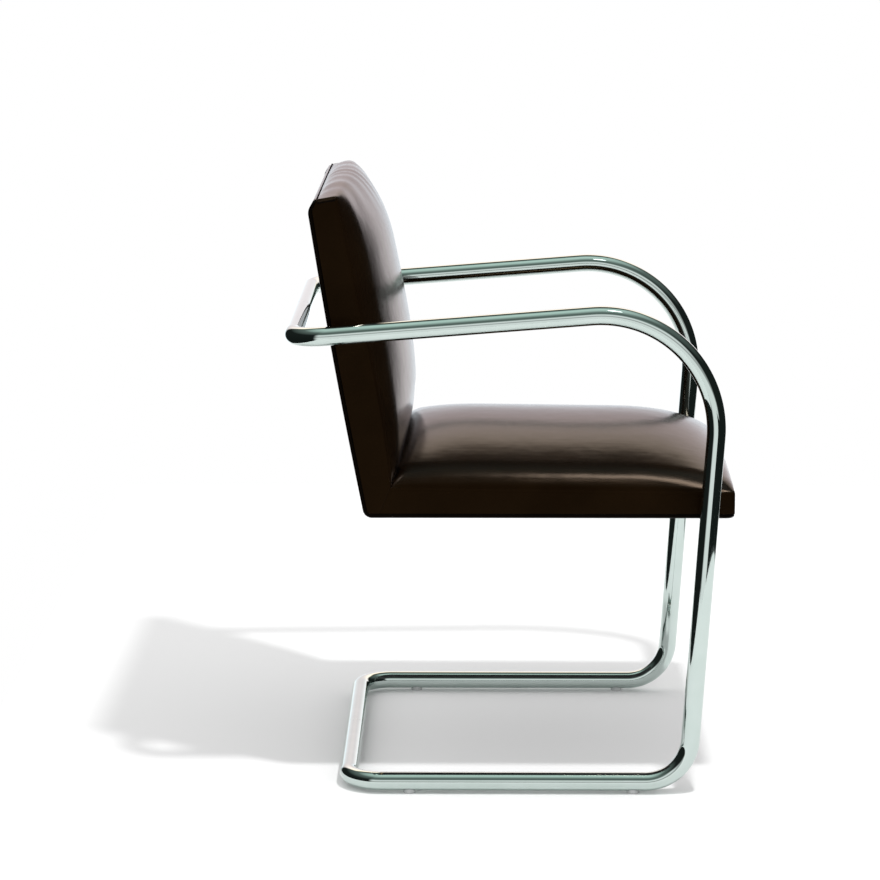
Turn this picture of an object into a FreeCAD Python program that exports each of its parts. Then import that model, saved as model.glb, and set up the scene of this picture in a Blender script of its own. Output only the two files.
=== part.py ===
import FreeCAD, Part
import math
import os

from FreeCAD import Vector

# Cantilever side chair: a bent chrome tube frame carries a leather seat and back in one L-shaped unit.
# Millimetres. X runs across the chair, -Y is the front and +Z is up.
# The origin is on the floor, in the middle of the chair's outline.

# Tube frame
overall_depth = 594.0          # rear of the arm crossbar to the front of the seat
frame_width = 552.0            # outside to outside of the tubes
tube_diameter = 25.0
tube_wall = 2.0
leg_setback = 35.6             # front of the seat to the leg's middle, where the seat is bolted to it
leg_lean = 3.94                # degrees, the leg leans forward as it rises
leg_length = 641.0             # floor corner to arm corner, along the leg
arm_slope = 4.465              # degrees, the arm falls towards the rear
base_setback = 69.0            # the floor crossbar stands ahead of the arm crossbar
foot_bend = 60.0               # bend radii on the tube's centre line
arm_bend = 151.5
rear_bend = 45.0
sleeve_length = 110.0
sleeve_wall = 2.5
sleeve_clearance = 0.1

# Floor glides
glide_height = 3.0
glide_radius = 8.0
glide_stem_radius = 3.0
glide_stem_grip = 3.0          # length of stem past the tube wall
glide_saddle = 3.0             # how far the glide's rim climbs the tube
glide_front_setback = 72.0     # floor corner to the front glides
glide_rear_setback = 82.0      # floor crossbar to the rear glides

# Seat and back unit
side_gap = 21.0                # clear space between tube and cushion
seat_underside = 366.0         # floor to the lowest edge of the seat
back_setback = 104.0           # rear of the arm crossbar to the rear lower corner of the seat
back_lean = 10.0               # degrees from upright
back_length = 427.0            # along the rear face, corner to top
seat_boxing_rear = 42.0        # height of the side panel at its rear and front ends
seat_boxing_front = 36.0
back_boxing = 43.0             # depth of the back's side panel
top_roll_length = 30.0         # the rear face rolls forward over its last stretch
top_roll_depth = 9.0
crease_lean = 23.0             # degrees, the crease between seat and back leans forward
leather = 1.5
welt_diameter = 6.0
welt_inset = 2.0               # welt centre inside the cushion's side
corner_round = 12.0            # outer radius of the rear lower corner
welt_corner = 9.0              # welt bend radius at the front and top corners

# Crowned padding
seat_crown = 64.0              # rise of the seat's middle above its side seams
back_crown = 50.0
crown_least = 1.5              # rise that is left at the very ends of a cushion
shoulder_width = 38.0          # width of the round shoulder beside each seam
shoulder_share = 0.47          # part of the crown's rise that the shoulder takes
roll_power = 2.2               # fullness of the end rolls
seat_front_roll = 150.0        # lengths over which the crown falls to each end
seat_rear_roll = 140.0
back_top_roll = 95.0
back_lower_roll = 250.0

# Wooden frame inside the upholstery
rail_thickness = 25.0          # across the chair
rail_height = 26.0
stile_depth = 24.0
rear_rail_depth = 40.0
top_rail_height = 45.0
lumbar_rail_height = 35.0
lumbar_rail_gap = 6.0          # clear space between the knee plate and the lumbar rail
dowel_radius = 4.0
dowel_length = 40.0
dowel_clearance = 0.1
corner_block_leg = 45.0

# Knee plates
plate_thickness = 3.0
plate_width = 18.0
plate_seat_leg = 100.0
plate_back_leg = 100.0
plate_margin = 4.0
plate_screw_radius = 2.0
plate_screw_length = 18.0
plate_screw_head_radius = 4.0
plate_screw_end = 10.0         # plate end to the nearest screw

# Straps, board, cloth and fasteners
strap_width = 50.0
strap_thickness = 2.5
strap_end_gap = 3.0
seat_strap_count = 6
back_strap_count = 4
board_thickness = 1.5
cloth_thickness = 1.0
welt_clearance = 0.3
boss_radius = 8.0
bolt_radius = 4.0
bolt_grip = 14.0               # thread engaged in the boss
bolt_head_radius = 7.0
bolt_head_height = 4.5
socket_radius = 2.5
socket_depth = 2.5
bolt_clearance = 0.4
thread_clearance = 0.05
washer_radius = 8.5
washer_thickness = 1.6

# Derived places
tube_radius = tube_diameter / 2
tube_x = frame_width / 2 - tube_radius
base_z = glide_height + tube_radius
front_y = -overall_depth / 2
arm_rear_y = overall_depth / 2 - tube_radius
base_rear_y = arm_rear_y - base_setback
rail_low = seat_underside + welt_diameter
rail_top = rail_low + rail_height
front_mount_y = front_y + leg_setback
front_mount_z = (rail_low + rail_top) / 2
lean_rad = math.radians(leg_lean)
slope_tan = math.tan(math.radians(arm_slope))
foot_y = front_mount_y + (front_mount_z - base_z) * math.tan(lean_rad)
arm_corner_y = foot_y - leg_length * math.sin(lean_rad)
arm_corner_z = base_z + leg_length * math.cos(lean_rad)
arm_rear_z = arm_corner_z - (arm_rear_y - arm_corner_y) * slope_tan

half_width = tube_x - tube_radius - side_gap
inner_half = half_width - leather
rail_inner_x = inner_half - rail_thickness
seat_length = overall_depth - back_setback
back_y = front_y + seat_length
back_sin = math.sin(math.radians(back_lean))
back_cos = math.cos(math.radians(back_lean))
stile_rear = welt_diameter
stile_front = stile_rear + stile_depth
back_inner_top = back_length - leather
roll_start = back_length - top_roll_length
roll_rate = top_roll_depth / top_roll_length
roll_stretch = math.hypot(1.0, roll_rate)
far = 4.0 * overall_depth      # larger than the chair, for half-space cutters

nodes = {}


def back_point(up, out, x=0.0):
    """Point at a distance up the rear face and out from it, towards the front."""
    y = back_y + up * back_sin - out * back_cos
    z = seat_underside + up * back_cos + out * back_sin
    return Vector(x, y, z)


def roll_place(inside):
    """Distance up the rear face where the roll begins, for a line inside the outer surface."""
    return roll_start - inside * (roll_stretch - 1.0) / roll_rate


def rear_out(up, inside):
    """Distance out from the rear face of a line that stays inside the outer surface."""
    return max(inside, inside * roll_stretch + (up - roll_start) * roll_rate)


def rear_point(up, inside):
    """Point on a line that stays inside the outer surface of the rear face."""
    return back_point(up, rear_out(up, inside))


def unit(vector):
    """Copy of a vector with length one."""
    return vector * (1.0 / vector.Length)


def corner_points(before, corner, after, radius):
    """Start, middle and end of the arc that rounds a corner."""
    arriving = unit(corner - before)
    leaving = unit(after - corner)
    turn = arriving.getAngle(leaving)
    tangent = radius * math.tan(turn / 2)
    inward = unit(leaving - arriving)
    centre = corner + inward * (radius / math.cos(turn / 2))
    return corner - arriving * tangent, centre - inward * radius, corner + leaving * tangent


def rounded_path(points, radii):
    """Wire through the points, with a tangent arc at each inner corner."""
    edges = []
    here = points[0]
    for before, corner, after, radius in zip(points, points[1:], points[2:], radii):
        start, middle, end = corner_points(before, corner, after, radius)
        edges.append(Part.LineSegment(here, start).toShape())
        edges.append(Part.Arc(start, middle, end).toShape())
        here = end
    edges.append(Part.LineSegment(here, points[-1]).toShape())
    return Part.Wire(edges)


def swept_tube(points, radii, radius):
    """Solid rod of a radius along a rounded path."""
    ring = Part.Wire(Part.makeCircle(radius, points[0], points[1] - points[0]))
    return rounded_path(points, radii).makePipeShell([ring], True, False)


def rod(start, end, radius):
    """Cylinder between two points."""
    axis = end - start
    return Part.makeCylinder(radius, axis.Length, start, axis)


def prism(points, length):
    """Straight solid from a flat outline in a plane of constant X, grown along +X."""
    face = Part.Face(Part.makePolygon(points + [points[0]]))
    return face.extrude(Vector(length, 0, 0))


def beyond(point, direction):
    """Half-space, as a big block, on the far side of a plane."""
    normal = unit(direction)
    block = Part.makeBox(far, far, far, Vector(-far / 2, -far / 2, 0))
    block.Placement = FreeCAD.Placement(point, FreeCAD.Rotation(Vector(0, 0, 1), normal))
    return block


def mirrored(shape):
    """Copy on the chair's other side."""
    return shape.mirror(Vector(0, 0, 0), Vector(1, 0, 0))


def both_sides(shape):
    """The shape and its mirror copy, as separate solids."""
    return shape.Solids + mirrored(shape).Solids


def add(name, shapes):
    """Keep one solid, or a group of separate solids, as a named node."""
    solids = []
    for shape in shapes if isinstance(shapes, list) else [shapes]:
        solids.extend(shape.Solids)
    nodes[name] = solids


def crown_fall(distance, roll):
    """Share of the full crown at a distance from a cushion's end."""
    near = max(0.0, 1.0 - max(0.0, distance) / roll)
    return (1.0 - near ** roll_power) ** (1.0 / roll_power)


def crowned_section(place, half, low, edge, crown):
    """Closed outline across a cushion: flat below, straight sides, round shoulders, arched middle.

    place(x, height) gives the point in space.
    """
    shoulder_x = half - shoulder_width
    shoulder_rise = shoulder_share * crown
    chord_angle = math.atan2(shoulder_rise, shoulder_width)
    end_angle = 2 * math.atan2(crown - shoulder_rise, shoulder_x)
    chord = math.hypot(shoulder_width, shoulder_rise)
    bulge = chord / 2 * math.tan((chord_angle - end_angle) / 2)
    middle_x = half - shoulder_width / 2 + bulge * math.sin(chord_angle)
    middle_rise = shoulder_rise / 2 + bulge * math.cos(chord_angle)
    corners = [(-half, edge), (-half, low), (half, low), (half, edge)]
    points = [place(x, height) for x, height in corners]
    right = place(middle_x, edge + middle_rise)
    right_top = place(shoulder_x, edge + shoulder_rise)
    left_top = place(-shoulder_x, edge + shoulder_rise)
    left = place(-middle_x, edge + middle_rise)
    edges = [Part.LineSegment(a, b).toShape() for a, b in zip(points, points[1:])]
    edges.append(Part.Arc(points[3], right, right_top).toShape())
    edges.append(Part.Arc(right_top, place(0, edge + crown), left_top).toShape())
    edges.append(Part.Arc(left_top, left, points[0]).toShape())
    return Part.Wire(edges)


def section_places(first, last, first_roll, last_roll):
    """Places along a cushion, closer together where it rolls down to its ends."""
    places = [first + first_roll * share for share in (0.0, 0.06, 0.2, 0.45, 0.8)]
    places += [last - last_roll * share for share in (0.8, 0.45, 0.2, 0.06, 0.0)]
    return sorted(places)


def seat_edge(y):
    """Height of the seat's side seam."""
    share = (y - front_y) / seat_length
    return seat_underside + seat_boxing_front + share * (seat_boxing_rear - seat_boxing_front)


# Inner corner where the side seams of seat and back meet
seam_slope = (seat_boxing_rear - seat_boxing_front) / seat_length
crease_up = (seat_boxing_rear - back_boxing * back_sin - seam_slope * back_boxing * back_cos) / (
    back_cos - seam_slope * back_sin)
crease = back_point(crease_up, back_boxing)
crease_forward = Vector(0, -math.cos(math.radians(crease_lean)), -math.sin(math.radians(crease_lean)))


def seat_form(inset):
    """Seat cushion before it is cut at the crease, drawn in by an inset on every outer face."""
    start = front_y + inset
    low = rail_low - (1.0 if inset else 0.0)
    sections = []
    for y in section_places(start, back_y, seat_front_roll, seat_rear_roll):
        share = crown_fall(y - start, seat_front_roll) * crown_fall(back_y - y, seat_rear_roll)
        crown = crown_least + (seat_crown - crown_least) * share
        place = lambda x, height, y=y: Vector(x, y, height)
        sections.append(crowned_section(place, half_width - inset, low, seat_edge(y) - inset, crown))
    return Part.makeLoft(sections, True, False)


def back_form(inset):
    """Back cushion before it is cut at the crease, drawn in by an inset on every outer face."""
    end = back_length - inset
    low = stile_rear - (1.0 if inset else 0.0)
    sections = []
    for up in section_places(crease_up, end, back_lower_roll, back_top_roll):
        share = crown_fall(end - up, back_top_roll) * crown_fall(up - crease_up, back_lower_roll)
        crown = crown_least + (back_crown - crown_least) * share
        place = lambda x, height, up=up: back_point(up, height, x)
        sections.append(crowned_section(place, half_width - inset, low, back_boxing - inset, crown))
    return Part.makeLoft(sections, True, False)


def rolled_top():
    """Half-space behind the top of the rear face, where it rolls forward."""
    start = rear_point(roll_place(stile_rear), stile_rear)
    along = rear_point(back_length, stile_rear) - start
    return beyond(start, Vector(0, along.z, -along.y))


def cut_seat(form):
    """The part of a form ahead of the crease."""
    return form.cut(beyond(crease, crease_forward * -1))


def cut_back(form):
    """The part of a form behind the crease, rolled forward at its top."""
    return form.cut(beyond(crease, crease_forward)).cut(rolled_top())


# Tube frame
def frame_points(side):
    """Centre-line corners of one half of the frame, from the floor joint to the rear joint."""
    x = side * tube_x
    return [
        Vector(0, base_rear_y, base_z),
        Vector(x, base_rear_y, base_z),
        Vector(x, foot_y, base_z),
        Vector(x, arm_corner_y, arm_corner_z),
        Vector(x, arm_rear_y, arm_rear_z),
        Vector(0, arm_rear_y, arm_rear_z),
    ]


frame_bends = [rear_bend, foot_bend, arm_bend, rear_bend]
glide_places = [foot_y + glide_front_setback, base_rear_y - glide_rear_setback]


def glide_stem(y, clearance):
    """Stem of the glide under the right base bar, from below the tube to inside it."""
    top = glide_height + tube_wall + glide_stem_grip
    return rod(Vector(-tube_x, y, glide_height / 2), Vector(-tube_x, y, top), glide_stem_radius + clearance)


def frame_half():
    """Right half of the frame, hollow, with holes for the glide stems."""
    points = frame_points(-1)
    tube = swept_tube(points, frame_bends, tube_radius)
    tube = tube.cut(swept_tube(points, frame_bends, tube_radius - tube_wall))
    for y in glide_places:
        tube = tube.cut(glide_stem(y, thread_clearance))
    return tube


def joint_sleeve(y, z):
    """Sleeve inside a crossbar, across the joint of the two halves."""
    outer = tube_radius - tube_wall - sleeve_clearance
    start = Vector(-sleeve_length / 2, y, z)
    end = Vector(sleeve_length / 2, y, z)
    return rod(start, end, outer).cut(rod(start, end, outer - sleeve_wall))


def glide(y):
    """Glide under the right base bar, shaped to the tube and held by its stem."""
    foot = rod(Vector(-tube_x, y, 0), Vector(-tube_x, y, glide_height + glide_saddle), glide_radius)
    reach = 2 * glide_radius
    bar = rod(Vector(-tube_x, y - reach, base_z), Vector(-tube_x, y + reach, base_z), tube_radius)
    return foot.cut(bar).fuse(glide_stem(y, 0.0))


right_frame = frame_half()
add("frame_tube_right", right_frame)
add("frame_tube_left", mirrored(right_frame))
add("base_joint_sleeve", joint_sleeve(base_rear_y, base_z))
add("rear_joint_sleeve", joint_sleeve(arm_rear_y, arm_rear_z))
add("floor_glides", [solid for y in glide_places for solid in both_sides(glide(y))])

# Mounting points: the leg crosses the seat rail, and the arm crosses the back stile
front_mount = Vector(0, front_mount_y, front_mount_z)
stile_middle = (stile_rear + stile_front) / 2
stile_foot = back_point(0, stile_middle)
rear_mount_up = (arm_corner_z - (stile_foot.y - arm_corner_y) * slope_tan - stile_foot.z) / (
    back_cos + back_sin * slope_tan)
rear_mount = back_point(rear_mount_up, stile_middle)
leg_direction = Vector(0, -math.sin(lean_rad), math.cos(lean_rad))
arm_direction = unit(Vector(0, 1, -slope_tan))


def on_side(mount, distance):
    """Point on the right side, at a distance from the chair's middle plane."""
    return Vector(-distance, mount.y, mount.z)


def bolt_hole(mount, clearance, start, end):
    """Cylinder on a mounting axis, for cutting bolt holes."""
    return rod(on_side(mount, start), on_side(mount, end), bolt_radius + clearance)


def boss(mount, tube_direction):
    """Threaded spacer from the cushion's side to the tube, shaped to the tube."""
    blank = rod(on_side(mount, half_width), on_side(mount, tube_x), boss_radius)
    reach = tube_direction * (2 * tube_diameter)
    tube = rod(on_side(mount, tube_x) - reach, on_side(mount, tube_x) + reach, tube_radius)
    bore_end = half_width + bolt_grip + bolt_clearance
    return blank.cut(tube).cut(bolt_hole(mount, thread_clearance, half_width, bore_end))


def bolt(mount):
    """Button-head bolt from inside the wooden frame into its spacer."""
    seat_x = rail_inner_x - washer_thickness
    shank = rod(on_side(mount, seat_x), on_side(mount, half_width + bolt_grip), bolt_radius)
    head = rod(on_side(mount, seat_x - bolt_head_height), on_side(mount, seat_x), bolt_head_radius)
    socket_start = seat_x - bolt_head_height
    socket = rod(on_side(mount, socket_start), on_side(mount, socket_start + socket_depth), socket_radius)
    return head.fuse(shank).cut(socket)


def washer(mount):
    """Washer under a bolt head."""
    start = rail_inner_x - washer_thickness
    disc = rod(on_side(mount, start), on_side(mount, rail_inner_x), washer_radius)
    return disc.cut(bolt_hole(mount, bolt_clearance, start, rail_inner_x))


mounts = [front_mount, rear_mount]
add("front_mount_bosses", both_sides(boss(front_mount, leg_direction)))
add("rear_mount_bosses", both_sides(boss(rear_mount, arm_direction)))
add("mount_bolts", [solid for mount in mounts for solid in both_sides(bolt(mount))])
add("mount_washers", [solid for mount in mounts for solid in both_sides(washer(mount))])

# Side outline of the wooden frame and side panels, rounded at the rear lower corner
def at_height(z, out):
    """Point at a height on a line parallel to the rear face."""
    return back_point((z - seat_underside - out * back_sin) / back_cos, out)


inner_corner = at_height(rail_low, stile_rear)
heel_front, heel_middle, heel_rear = corner_points(
    Vector(0, front_y, rail_low), inner_corner, back_point(back_length, stile_rear),
    corner_round - welt_diameter)


def shifted(points, x):
    """Copies of points, moved to another X."""
    return [Vector(x, point.y, point.z) for point in points]


def back_outline(low, high):
    """Side outline of a piece of the back frame between two distances up the rear face."""
    outline = [back_point(low, stile_front), rear_point(low, stile_rear)]
    if low < roll_place(stile_rear) < high:
        outline.append(rear_point(roll_place(stile_rear), stile_rear))
    outline.append(rear_point(high, stile_rear))
    outline.append(back_point(high, stile_front))
    return outline


def crossbar(outline, half):
    """Rail that runs across the chair between two side members."""
    return prism(shifted(outline, -half), 2 * half)


seat_rail_outline = [
    Vector(0, front_y + leather, rail_low),
    heel_front,
    heel_middle,
    heel_rear,
    at_height(rail_top, stile_rear),
    Vector(0, front_y + leather, rail_top),
]
seat_rail = prism(shifted(seat_rail_outline, -inner_half), rail_thickness)

stile_foot_line = [at_height(rail_top, stile_front), at_height(rail_top, stile_rear)]
stile_outline = stile_foot_line + back_outline(0, back_inner_top)[2:]
stile = prism(shifted(stile_outline, -inner_half), rail_thickness)

front_rail_y = front_y + leather + rail_thickness
front_rail = crossbar([
    Vector(0, front_y + leather, rail_low),
    Vector(0, front_rail_y, rail_low),
    Vector(0, front_rail_y, rail_top),
    Vector(0, front_y + leather, rail_top),
], rail_inner_x)
rear_rail_y = inner_corner.y - rear_rail_depth
rear_rail = crossbar([
    heel_front,
    heel_middle,
    heel_rear,
    at_height(rail_top, stile_rear),
    Vector(0, rear_rail_y, rail_top),
    Vector(0, rear_rail_y, rail_low),
], rail_inner_x - plate_thickness)
top_rail_low = back_inner_top - top_rail_height
top_rail = crossbar(back_outline(top_rail_low, back_inner_top), rail_inner_x)
lumbar_rail_place = crease_up + plate_back_leg + lumbar_rail_gap
lumbar_rail_high = lumbar_rail_place + lumbar_rail_height
lumbar_rail = crossbar(back_outline(lumbar_rail_place, lumbar_rail_high), rail_inner_x)

# Dowels: pairs across each joint of the wooden frame
def dowel_pair(middle, axis, apart):
    """Two dowels through a joint, spread along a direction."""
    pair = []
    for place in (middle + apart, middle - apart):
        pair.append((place - axis * (dowel_length / 2), place + axis * (dowel_length / 2)))
    return pair


across = Vector(1, 0, 0)
up_back = Vector(0, back_sin, back_cos)
joint_x = -rail_inner_x
front_rail_middle = Vector(joint_x, front_y + leather + rail_thickness / 2, (rail_low + rail_top) / 2)
stile_joint = at_height(rail_top, stile_middle)
stile_joint = Vector(-(inner_half - rail_thickness / 2), stile_joint.y, stile_joint.z)
dowels = {
    "front": dowel_pair(front_rail_middle, across, Vector(0, 0, rail_height / 4)),
    "top": dowel_pair(back_point(top_rail_low + top_rail_height / 2, stile_middle, joint_x), across,
                      up_back * (top_rail_height / 4)),
    "lumbar": dowel_pair(back_point(lumbar_rail_place + lumbar_rail_height / 2, stile_middle, joint_x),
                         across, up_back * (lumbar_rail_height / 4)),
    "stile": dowel_pair(stile_joint, up_back, across * (rail_thickness / 4)),
}


def drilled(piece, joints):
    """Piece with its dowel holes on the right side."""
    for joint in joints:
        for start, end in dowels[joint]:
            piece = piece.cut(rod(start, end, dowel_radius + dowel_clearance))
    return piece


def drilled_both(piece, joints):
    """Crossbar with its dowel holes at both ends."""
    return drilled(mirrored(drilled(piece, joints)), joints)


# Knee plates on the inner faces of rail and stile
def knee_plate():
    """L-shaped steel plate at the right rear corner."""
    low = rail_low + plate_margin
    high = low + plate_width
    plate_rear = stile_rear + (stile_depth - plate_width) / 2
    plate_front = plate_rear + plate_width
    heel = at_height(low, plate_rear)
    knee = at_height(high, plate_front)
    back_rear = back_point(crease_up + plate_back_leg, plate_rear)
    back_front = back_point(crease_up + plate_back_leg, plate_front)
    outline = [
        heel,
        back_rear,
        back_front,
        knee,
        Vector(0, heel.y - plate_seat_leg, high),
        Vector(0, heel.y - plate_seat_leg, low),
    ]
    return prism(shifted(outline, -rail_inner_x), plate_thickness)


plate_middle_z = rail_low + plate_margin + plate_width / 2
plate_rear_y = at_height(rail_low + plate_margin, stile_rear + (stile_depth - plate_width) / 2).y
plate_seat_end = plate_rear_y - plate_seat_leg + plate_screw_end
plate_back_end = crease_up + plate_back_leg - plate_screw_end
screw_pitch = plate_width + plate_screw_end
screw_places = [
    Vector(0, plate_seat_end, plate_middle_z),
    Vector(0, plate_seat_end + screw_pitch, plate_middle_z),
    back_point(plate_back_end, stile_middle),
    back_point(plate_back_end - screw_pitch, stile_middle),
]


def plate_screw(place, clearance):
    """Countersunk screw through the plate into the wood, on the right side."""
    head_end = -(rail_inner_x - plate_thickness)
    face = Vector(head_end, place.y, place.z)
    head = Part.makeCone(plate_screw_head_radius + clearance, plate_screw_radius + clearance,
                         plate_thickness, face, across * -1)
    shank = rod(face, face - across * plate_screw_length, plate_screw_radius + clearance)
    return head.fuse(shank)


bolt_access = rod(on_side(front_mount, rail_inner_x - corner_block_leg),
                  on_side(front_mount, rail_inner_x), washer_radius + bolt_clearance)
front_rail = front_rail.cut(bolt_access).cut(mirrored(bolt_access))

plate = knee_plate()
for place in screw_places:
    cutter = plate_screw(place, thread_clearance)
    plate = plate.cut(cutter)
    seat_rail = seat_rail.cut(cutter)
    stile = stile.cut(cutter)

seat_rail = drilled(seat_rail, ["front", "stile"])
stile = drilled(stile, ["top", "lumbar", "stile"])
seat_rail = seat_rail.cut(bolt_hole(front_mount, bolt_clearance, rail_inner_x, half_width))
stile = stile.cut(bolt_hole(rear_mount, bolt_clearance, rail_inner_x, half_width))

add("seat_rail_right", seat_rail)
add("seat_rail_left", mirrored(seat_rail))
add("seat_front_rail", drilled_both(front_rail, ["front"]))
add("seat_rear_rail", rear_rail)
add("back_stile_right", stile)
add("back_stile_left", mirrored(stile))
add("back_top_rail", drilled_both(top_rail, ["top"]))
add("back_lumbar_rail", drilled_both(lumbar_rail, ["lumbar"]))
dowel_rods = [rod(start, end, dowel_radius) for pair in dowels.values() for start, end in pair]
add("frame_dowels", [solid for dowel in dowel_rods for solid in both_sides(dowel)])
add("corner_plate_right", plate)
add("corner_plate_left", mirrored(plate))
screws = [plate_screw(place, 0.0) for place in screw_places]
add("plate_screws", [solid for screw in screws for solid in both_sides(screw)])

# Front corner blocks, three-cornered, as high as the rails
block_wire = Part.makePolygon([
    Vector(-rail_inner_x, front_rail_y, rail_low),
    Vector(-rail_inner_x + corner_block_leg, front_rail_y, rail_low),
    Vector(-rail_inner_x, front_rail_y + corner_block_leg, rail_low),
    Vector(-rail_inner_x, front_rail_y, rail_low),
])
block = Part.Face(block_wire).extrude(Vector(0, 0, rail_height))
block = block.cut(bolt_access)
add("front_corner_blocks", both_sides(block))

# Straps that carry the padding
def spread(count, low, high, width):
    """Starts of evenly spaced straps of a width between two limits."""
    gap = (high - low - count * width) / (count + 1)
    return [low + gap + number * (width + gap) for number in range(count)]


strap_limit = rail_inner_x - plate_thickness
strap_front = front_y + leather + strap_end_gap
strap_rear = at_height(rail_top, stile_front + strap_thickness).y - strap_end_gap
seat_straps = [
    Part.makeBox(strap_width, strap_rear - strap_front, strap_thickness, Vector(x, strap_front, rail_top))
    for x in spread(seat_strap_count, -strap_limit, strap_limit, strap_width)
]
add("seat_webbing", seat_straps)


def back_strap(up):
    """Strap across the front of the stiles."""
    outline = [
        back_point(up, stile_front),
        back_point(up + strap_width, stile_front),
        back_point(up + strap_width, stile_front + strap_thickness),
        back_point(up, stile_front + strap_thickness),
    ]
    return crossbar(outline, inner_half - strap_end_gap)


back_strap_low = crease_up + plate_width
add("back_webbing", [back_strap(up) for up in spread(back_strap_count, back_strap_low, top_rail_low,
                                                     strap_width)])

# Padding: the cushion forms inside the leather, above the straps
seat_inner = seat_form(leather)
back_inner = back_form(leather)
foam_floor = Vector(0, 0, rail_top + strap_thickness)
foam_rear = back_point(0, stile_front + strap_thickness)
forward_of_back = Vector(0, -back_cos, back_sin)
below_foam = beyond(foam_floor, Vector(0, 0, -1))
seat_foam = cut_seat(seat_inner).cut(below_foam)
back_foam = cut_back(back_inner).cut(beyond(foam_rear, forward_of_back * -1)).cut(below_foam)
add("seat_foam", seat_foam)
add("back_foam", back_foam)

# Leather: side panels, then the crowned panels that wrap over the front and the top
seat_boxing_outline = [
    Vector(0, front_y, rail_low),
    heel_front,
    heel_middle,
    crease,
    Vector(0, front_y, seat_edge(front_y)),
]
back_boxing_outline = [
    heel_middle,
    heel_rear,
    rear_point(roll_place(stile_rear), stile_rear),
    rear_point(back_length, stile_rear),
    back_point(back_length, back_boxing),
    crease,
]
seat_boxing = prism(shifted(seat_boxing_outline, -half_width), leather)
back_boxing_panel = prism(shifted(back_boxing_outline, -half_width), leather)
boxings = both_sides(seat_boxing) + both_sides(back_boxing_panel)
seat_cover = cut_seat(seat_form(0.0).cut(seat_inner))
back_cover = cut_back(back_form(0.0).cut(back_inner))
for panel in boxings:
    seat_cover = seat_cover.cut(panel)
    back_cover = back_cover.cut(panel)
seat_boxing = seat_boxing.cut(bolt_hole(front_mount, bolt_clearance, inner_half, half_width))
back_boxing_panel = back_boxing_panel.cut(bolt_hole(rear_mount, bolt_clearance, inner_half, half_width))
add("seat_cover", seat_cover)
add("back_cover", back_cover)
add("seat_boxing_right", seat_boxing)
add("seat_boxing_left", mirrored(seat_boxing))
add("back_boxing_right", back_boxing_panel)
add("back_boxing_left", mirrored(back_boxing_panel))

# Outside of the back, and the cloth under the seat, inside the loop of welt
welt_radius = welt_diameter / 2
welt_x = half_width - welt_inset
panel_half = welt_x - welt_radius - welt_clearance
panel_low = corner_round
panel_top = back_length - welt_diameter - welt_clearance


def rear_sheet(outer, thickness):
    """Sheet behind the back frame that follows the roll at the top."""
    inner = outer + thickness
    outline = [
        rear_point(panel_low, outer),
        rear_point(roll_place(outer), outer),
        rear_point(panel_top, outer),
        rear_point(panel_top, inner),
        rear_point(roll_place(inner), inner),
        rear_point(panel_low, inner),
    ]
    return crossbar(outline, panel_half)


board_outer = stile_rear - board_thickness
add("back_board", rear_sheet(board_outer, board_thickness))
add("outside_back", rear_sheet(board_outer - leather, leather))
cloth_front = front_y + welt_diameter + welt_clearance
add("dust_cover", Part.makeBox(2 * panel_half, heel_front.y - cloth_front, cloth_thickness,
                               Vector(-panel_half, cloth_front, rail_low - cloth_thickness)))

# Welt: one loop along the seat's underside, up the rear of the back and across the top
welt_low = seat_underside + welt_radius
welt_front = Vector(0, front_y + welt_radius, welt_low)
welt_heel = at_height(welt_low, welt_radius)
welt_roll = rear_point(roll_place(welt_radius), welt_radius)
welt_top = rear_point(back_length - welt_radius, welt_radius)
welt_points = [welt_front] + shifted([welt_front, welt_heel, welt_roll, welt_top], -welt_x) + [welt_top]
welt_bends = [welt_corner, corner_round - welt_radius, top_roll_length, welt_corner]
welt_half = swept_tube(welt_points, welt_bends, welt_radius)
add("edge_welt", welt_half.fuse(mirrored(welt_half)))

os.makedirs("parts", exist_ok=True)
for name, solids in nodes.items():
    shape = solids[0] if len(solids) == 1 else Part.makeCompound(solids)
    shape.exportStep("parts/" + name + ".step")
    print(name, len(solids), "solid", "valid" if shape.isValid() else "NOT VALID", round(shape.Volume))
everything = Part.makeCompound([solid for solids in nodes.values() for solid in solids])
box = everything.BoundBox
print("box", round(box.XMin, 2), round(box.YMin, 2), round(box.ZMin, 2),
      round(box.XMax, 2), round(box.YMax, 2), round(box.ZMax, 2))
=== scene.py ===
import math

import bpy
from mathutils import Matrix, Vector


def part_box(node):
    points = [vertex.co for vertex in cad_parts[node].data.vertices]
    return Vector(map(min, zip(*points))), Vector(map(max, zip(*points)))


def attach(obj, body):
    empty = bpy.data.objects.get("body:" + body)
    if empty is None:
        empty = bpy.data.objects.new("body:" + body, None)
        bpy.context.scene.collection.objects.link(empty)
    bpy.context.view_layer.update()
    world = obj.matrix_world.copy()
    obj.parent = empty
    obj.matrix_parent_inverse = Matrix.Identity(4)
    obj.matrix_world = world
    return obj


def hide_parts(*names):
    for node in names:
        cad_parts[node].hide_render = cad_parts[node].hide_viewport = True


# Cantilever side chair: chromed tube frame, dark brown leather seat and back.
# Metres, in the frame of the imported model: X across, -Y the front, +Z up.

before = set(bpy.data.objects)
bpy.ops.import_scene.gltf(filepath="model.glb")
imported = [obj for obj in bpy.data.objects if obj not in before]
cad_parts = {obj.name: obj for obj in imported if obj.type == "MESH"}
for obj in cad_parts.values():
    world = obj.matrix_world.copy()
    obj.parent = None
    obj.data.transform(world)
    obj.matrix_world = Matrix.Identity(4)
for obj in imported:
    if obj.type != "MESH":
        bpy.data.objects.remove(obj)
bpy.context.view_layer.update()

mm = 0.001
photo_width = 880                       # pixels, of the square photograph

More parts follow.
